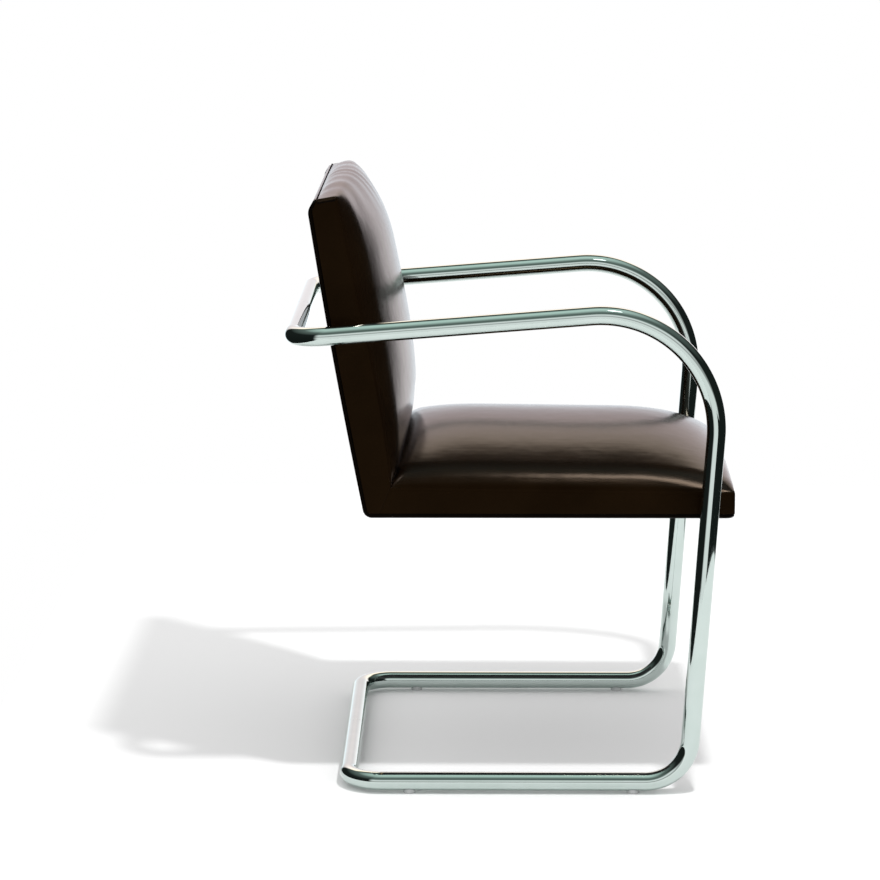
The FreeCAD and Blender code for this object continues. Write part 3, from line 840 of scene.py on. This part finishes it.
# Trim
def edge_welt():
    """Leather piping in one loop: under the seat, up the sides of the back and across its top."""
    welt_x = half_width - welt_inset
    low = seat_underside + welt_radius
    heel_up = (welt_radius - welt_radius * back_sin) / back_cos
    top_up = back_length - welt_radius

    def side_corners(x):
        """Corners of one side, from the seat's front to the back's top."""
        return [
            Vector((x, front_y + welt_radius, low)),
            back_point(heel_up, welt_radius, x),
            back_point(roll_start, welt_radius, x),
            back_point(top_up, welt_radius + top_roll_depth, x),
        ]

    left = side_corners(welt_x)
    right = side_corners(-welt_x)
    start = (right[0] + left[0]) / 2
    corners = [start, *left, *reversed(right), start]
    side_bends = [welt_corner, corner_round - welt_radius, top_roll_length, welt_corner]
    bends = side_bends + side_bends[::-1]
    route = rounded_route(corners, bends, piping_arc_steps, piping_run)[:-1]
    bowed = []
    for place, direction in route:
        up = (place.z - seat_underside) / back_cos
        bow = rear_bulge(up) if place.y > crease.y else 0.0
        bowed.append((place + Vector((0, bow * back_cos, -bow * back_sin)), direction))
    vertices, faces = tube_mesh(bowed, welt_radius, piping_sides, closed=True)
    return make_piece("edge_piping", vertices, faces, welt_leather, ["edge_welt"])


def straight_tube(name, start, end, radius, material):
    """Straight thin tube with bevelled ends, part of the leather work."""
    route = rounded_route([start, end], [], piping_arc_steps, piping_run)
    vertices, faces = tube_mesh(route, radius, piping_sides, end_bevel=thin_end_round * radius)
    return make_piece(name, vertices, faces, material, [])


def top_edges():
    """Rolled edges over the back's side panels, in a lighter leather that paints their highlight, and dark
    lines of painted seam shade beside them and beside the piping.
    """
    rear = top_roll_depth + rear_inside
    front = back_edge(back_length) - side_roll_radius
    roll_up = back_length - side_roll_radius + side_roll_lift
    line_up = roll_up - side_roll_radius - seam_shade_below
    for side, name in ((-1, "right"), (1, "left")):
        roll_x = side * (half_width - side_roll_radius + side_roll_proud)
        line_x = side * (half_width - seam_shade_sunk)
        straight_tube("rolled_edge_" + name, back_point(roll_up, rear, roll_x),
                      back_point(roll_up, front, roll_x), side_roll_radius, highlit_roll_leather)
        # Painted shade: a dark line for the shadowed gap of the seam under the rolled edge.
        straight_tube("painted_seam_shade_" + name, back_point(line_up, rear, line_x),
                      back_point(line_up, front, line_x), seam_shade_radius, seam_shade)
    line_half = half_width - welt_inset - welt_radius
    # Painted shade: a dark line for the shadowed gap beside the top piping.
    straight_tube("painted_seam_shade_top", back_point(back_length, rear, -line_half),
                  back_point(back_length, rear, line_half), seam_shade_radius, seam_shade)


def outside_back():
    """Leather panel behind the back, stretched over the board and slightly full."""
    _, panel_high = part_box("outside_back")
    half = panel_high.x
    first = corner_round
    last = back_length - 2 * welt_radius - panel_gap
    edge_heights = even_shares(panel_edge_steps)
    loops = []
    for along in even_shares(panel_steps):
        up = first + (last - first) * along
        middle = arch(2 * along - 1, panel_end_flatness)
        outer = rear_face(up) + panel_outer + (1 - middle) * panel_turn
        inner = panel_inner + top_turn(up)

        def low_point(share):
            full = panel_fullness * arch(share, panel_flatness) * middle
            return back_point(up, outer - full, share * half)

        def side_point(side, share):
            return back_point(up, outer + (inner - outer) * share, side * half)

        def high_point(share):
            return back_point(up, inner, share * half)

        loops.append(loop_points(cover_across, edge_heights, low_point, side_point, high_point))
    vertices, faces = closed_loft(loops, cover_columns, len(edge_heights))
    return make_piece("outside_back_panel", vertices, faces, leather, ["outside_back"])


def dust_cover():
    """Black cloth tacked under the seat, sagging a little between the rails."""
    low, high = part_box("dust_cover")
    half = high.x
    edge_heights = even_shares(dust_edge_steps)
    sheet_across = [2 * share - 1 for share in even_shares(dust_steps)]
    loops = []
    for along in even_shares(dust_steps):
        y = low.y + (high.y - low.y) * along
        hang = dust_sag * arch(2 * along - 1)

        def sheet_point(share, z):
            return Vector((share * half, y, z - hang * arch(share)))

        def low_point(share):
            return sheet_point(share, low.z)

        def side_point(side, share):
            return sheet_point(side, low.z + (high.z - low.z) * share)

        def high_point(share):
            return sheet_point(share, high.z)

        loops.append(loop_points(sheet_across, edge_heights, low_point, side_point, high_point))
    vertices, faces = closed_loft(loops, len(sheet_across), len(edge_heights))
    piece = make_piece("dust_sheet", vertices, faces, dust_cloth, ["dust_cover"])
    return piece


seat = seat_cushion()
back = back_cushion()
tubes = [frame_tube(-1, "right"), frame_tube(1, "left")]
edge_welt()
top_edges()
outside_back()
dust_cover()

# Carried-over CAD nodes
node_materials = {
    chrome: ["front_mount_bosses", "rear_mount_bosses"],
    steel: ["base_joint_sleeve", "rear_joint_sleeve", "mount_bolts", "mount_washers", "plate_screws",
            "corner_plate_right", "corner_plate_left"],
    plastic: ["floor_glides"],
    wood: ["seat_rail_right", "seat_rail_left", "seat_front_rail", "seat_rear_rail", "back_stile_right",
           "back_stile_left", "back_top_rail", "back_lumbar_rail", "frame_dowels", "front_corner_blocks"],
    webbing: ["seat_webbing", "back_webbing"],
    board: ["back_board"],
}
for node_material, node_names in node_materials.items():
    for node_name in node_names:
        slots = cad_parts[node_name].data.materials
        slots.clear()
        slots.append(node_material)


# Studio
def stage_mesh(name, vertices, faces, material):
    """Mesh for the studio, not attached to the chair."""
    thing = mesh_object(name, vertices, faces, material)
    return thing


def only_in_reflections(thing):
    """Lets only glossy surfaces see a part of the studio, which lights nothing else."""
    thing.visible_camera = False
    thing.visible_diffuse = False
    thing.visible_shadow = False
    thing.visible_transmission = False


def studio_floor():
    """White floor that keeps the chair's shadow."""
    material, _, shader = new_material("white_floor")
    shader.inputs["Base Color"].default_value = white
    shader.inputs["Roughness"].default_value = 1.0
    shader.inputs["Specular IOR Level"].default_value = 0.0
    corners = [
        (floor_near, floor_front, 0),
        (floor_far, floor_front, 0),
        (floor_far, floor_rear, 0),
        (floor_near, floor_rear, 0),
    ]
    stage_mesh("floor", corners, [(0, 1, 2, 3)], material)


def glow_material(name):
    """Emission material; returns it with its node tree and its emission shader."""
    material, tree, _ = new_material(name)
    tree.nodes.clear()
    glow = tree.nodes.new("ShaderNodeEmission")
    output = tree.nodes.new("ShaderNodeOutputMaterial")
    tree.links.new(glow.outputs["Emission"], output.inputs["Surface"])
    return material, tree, glow


def highlight_only(lamp, place, lit_pieces):
    """Hangs a lamp that shows only as a highlight on some pieces."""
    source = new_object(lamp.name, lamp)
    source.location = place
    source.visible_camera = False
    source.visible_diffuse = False
    lit = bpy.data.collections.new("lit_by_" + lamp.name)
    for piece in lit_pieces:
        lit.objects.link(piece)
    source.light_linking.receiver_collection = lit


def front_strip(lit_pieces):
    """Overhead strip lamp ahead of the chair, for the bright line along the leather's shoulder."""
    lamp = bpy.data.lights.new("front_strip", "AREA")
    lamp.shape = "RECTANGLE"
    lamp.size, lamp.size_y = strip_size
    lamp.energy = strip_level * math.pi * lamp.size * lamp.size_y
    lamp.color = strip_colour
    highlight_only(lamp, strip_place, lit_pieces)


def chrome_glint(lit_pieces):
    """The key lamp's own bright spot in the polished tubes."""
    lamp = bpy.data.lights.new("chrome_glint", "POINT")
    lamp.shadow_soft_size = glint_radius
    lamp.energy = glint_level * 4 * (math.pi * glint_radius) ** 2
    highlight_only(lamp, lamp_place, lit_pieces)


def grey(value):
    """Light of one level in every colour."""
    return (value, value, value)


def cool(value):
    """Light of the upper room, a little green."""
    return (0.80 * value, value, 0.93 * value)


def dome_light(tree):
    """Light of the dome by direction: soft boxes behind the chair and beside the camera, dark flanks."""
    place = tree.nodes.new("ShaderNodeTexCoord").outputs["Object"]
    unit = tree.nodes.new("ShaderNodeSeparateXYZ")
    tree.links.new(vector_math(tree, "NORMALIZE", place), unit.inputs["Vector"])
    height = spread(tree, unit.outputs["Z"], 0.0, 1.0, start=-1.0)
    level_place = vector_math(tree, "MULTIPLY", place, (1.0, 1.0, 0.0))
    heading = tree.nodes.new("ShaderNodeSeparateXYZ")
    tree.links.new(vector_math(tree, "NORMALIZE", level_place), heading.inputs["Vector"])

    def sky(stops):
        """Light by elevation in degrees, which the ramp holds as shares of the dome's level."""
        return ramp(tree, height, [
            ((math.sin(math.radians(elevation)) + 1) / 2, [part / dome_level for part in colour])
            for elevation, colour in stops
        ])

    def box_top(elevation):
        """Warm upper edge of the soft box behind the chair, and the dark room over it."""
        return [
            (elevation, (2.30, 1.90, 1.50)), (elevation + 3, (1.12, 0.90, 0.66)),
            (elevation + 6, cool(0.02)), (58, cool(0.04)), (66, cool(0.11)), (76, cool(0.36)),
            (84, cool(0.82)), (90, cool(0.97)),
        ]

    def turned(axis, start, end):
        """Share by which a level direction has turned from a start to an end along an axis."""
        return spread(tree, heading.outputs[axis], 0.0, 1.0, start, end, "SMOOTHSTEP")

    def mixed(factor, first, second):
        """One light that gives way to a second as a factor rises."""
        node = tree.nodes.new("ShaderNodeMix")
        node.data_type = "RGBA"
        tree.links.new(factor, node.inputs["Factor"])
        tree.links.new(first, node.inputs["A"])
        tree.links.new(second, node.inputs["B"])
        return node.outputs["Result"]

    behind = sky([
        (-90, grey(1.3)), (-1, (1.30, 1.38, 1.46)), (5, (1.16, 1.18, 1.24)), (8, (1.14, 1.07, 1.10)),
        (14, (1.08, 0.96, 0.99)), (22, (1.40, 1.17, 1.15)), (30, (1.80, 1.50, 1.42)),
        (38, (2.10, 1.72, 1.46)), *box_top(43),
    ])
    behind_ahead = sky([
        (-90, grey(1.5)), (-1, (1.60, 1.50, 1.50)), (12, (1.55, 1.38, 1.40)),
        (34, (2.00, 1.65, 1.46)), *box_top(40),
    ])
    camera_side = sky([
        (-90, grey(1.1)), (-1, grey(1.1)), (1, grey(0.52)), (8, grey(0.58)), (14, grey(1.1)),
        (21, grey(1.1)), (29, cool(0.29)), (41, cool(0.15)), (56, cool(0.40)), (76, cool(0.87)),
        (90, cool(0.97)),
    ])
    flanks = sky([
        (-90, cool(0.01)), (26, cool(0.02)), (53, cool(0.20)), (76, cool(0.82)), (90, cool(0.97)),
    ])
    far_side = mixed(turned("Y", -0.12, -0.38), behind, behind_ahead)
    far_and_flanks = mixed(turned("X", 0.82, 0.90), flanks, far_side)
    return mixed(turned("X", -0.78, -0.92), far_and_flanks, camera_side)


def studio_dome():
    """Round of soft lamps and dark flags that only reflections see."""
    vertices = []
    for ring in range(dome_rings + 1):
        rise = math.pi * (ring / dome_rings - 0.5)
        reach = dome_radius * math.cos(rise)
        height = dome_radius * math.sin(rise)
        for number in range(dome_sides):
            angle = 2 * math.pi * number / dome_sides
            vertices.append((reach * math.cos(angle), reach * math.sin(angle), height))
    material, tree, glow = glow_material("studio_light")
    tree.links.new(dome_light(tree), glow.inputs["Color"])
    glow.inputs["Strength"].default_value = dome_level
    dome = stage_mesh("studio_dome", vertices, ring_quads(dome_rings + 1, dome_sides), material)
    only_in_reflections(dome)


def dark_screen():
    """Low dark screen round the chair's front, which the upper part of the near leg mirrors."""
    vertices = []
    for share in even_shares(screen_sides):
        angle = math.radians(screen_start + (screen_end - screen_start) * share)
        x = screen_centre[0] - screen_radius * math.cos(angle)
        y = screen_centre[1] - screen_radius * math.sin(angle)
        vertices += [(x, y, screen_foot), (x, y, screen_height)]
    faces = [(foot, foot + 2, foot + 3, foot + 1) for foot in range(0, 2 * screen_sides, 2)]
    material, _, glow = glow_material("dark_screen")
    glow.inputs["Color"].default_value = screen_colour
    screen = stage_mesh("dark_screen", vertices, faces, material)
    only_in_reflections(screen)


def white_world():
    """Soft even light; the camera and reflections see plain white."""
    world = bpy.data.worlds.new("white_studio")
    bpy.context.scene.world = world
    world.use_nodes = True
    tree = world.node_tree
    light_path = tree.nodes.new("ShaderNodeLightPath")
    seen = light_path.outputs["Is Camera Ray"]
    for name in ("Is Glossy Ray", "Is Transmission Ray"):
        either = tree.nodes.new("ShaderNodeMath")
        either.operation = "MAXIMUM"
        tree.links.new(seen, either.inputs[0])
        tree.links.new(light_path.outputs[name], either.inputs[1])
        seen = either.outputs["Value"]
    background = tree.nodes["Background"]
    tree.links.new(spread(tree, seen, world_level, 1.0), background.inputs["Strength"])
    background.inputs["Color"].default_value = white


def key_lamp():
    """Small lamp above the camera side, whose light doesn't fall off with distance."""
    lamp = bpy.data.lights.new("key_lamp", "POINT")
    lamp.energy = lamp_power
    lamp.shadow_soft_size = lamp_radius
    lamp.use_nodes = True
    tree = lamp.node_tree
    even = tree.nodes.new("ShaderNodeLightFalloff")
    even.inputs["Strength"].default_value = 1.0
    tree.links.new(even.outputs["Constant"], tree.nodes["Emission"].inputs["Strength"])
    source = new_object("key_lamp", lamp)
    source.location = lamp_place
    source.visible_glossy = False


def photo_camera():
    """Camera at the photograph's place."""
    level = math.cos(camera_pitch)
    forward = Vector((math.cos(camera_heading) * level, math.sin(camera_heading) * level,
                      -math.sin(camera_pitch)))
    right = Vector((math.sin(camera_heading), -math.cos(camera_heading), 0))
    up = right.cross(forward)
    turn = Matrix((right, up, -forward)).transposed() @ Matrix.Rotation(camera_roll, 3, "Z")
    data = bpy.data.cameras.new("photo_camera")
    data.sensor_width = sensor_width
    data.lens = sensor_width * focal_pixels / photo_width
    data.clip_end = camera_reach
    camera = new_object("photo_camera", data)
    camera.matrix_world = Matrix.Translation(camera_place) @ turn.to_4x4()
    bpy.context.scene.camera = camera


studio_floor()
studio_dome()
dark_screen()
front_strip([seat, back])
chrome_glint(tubes)
white_world()
key_lamp()
photo_camera()
bpy.context.scene.view_settings.view_transform = "Standard"

bpy.context.view_layer.update()
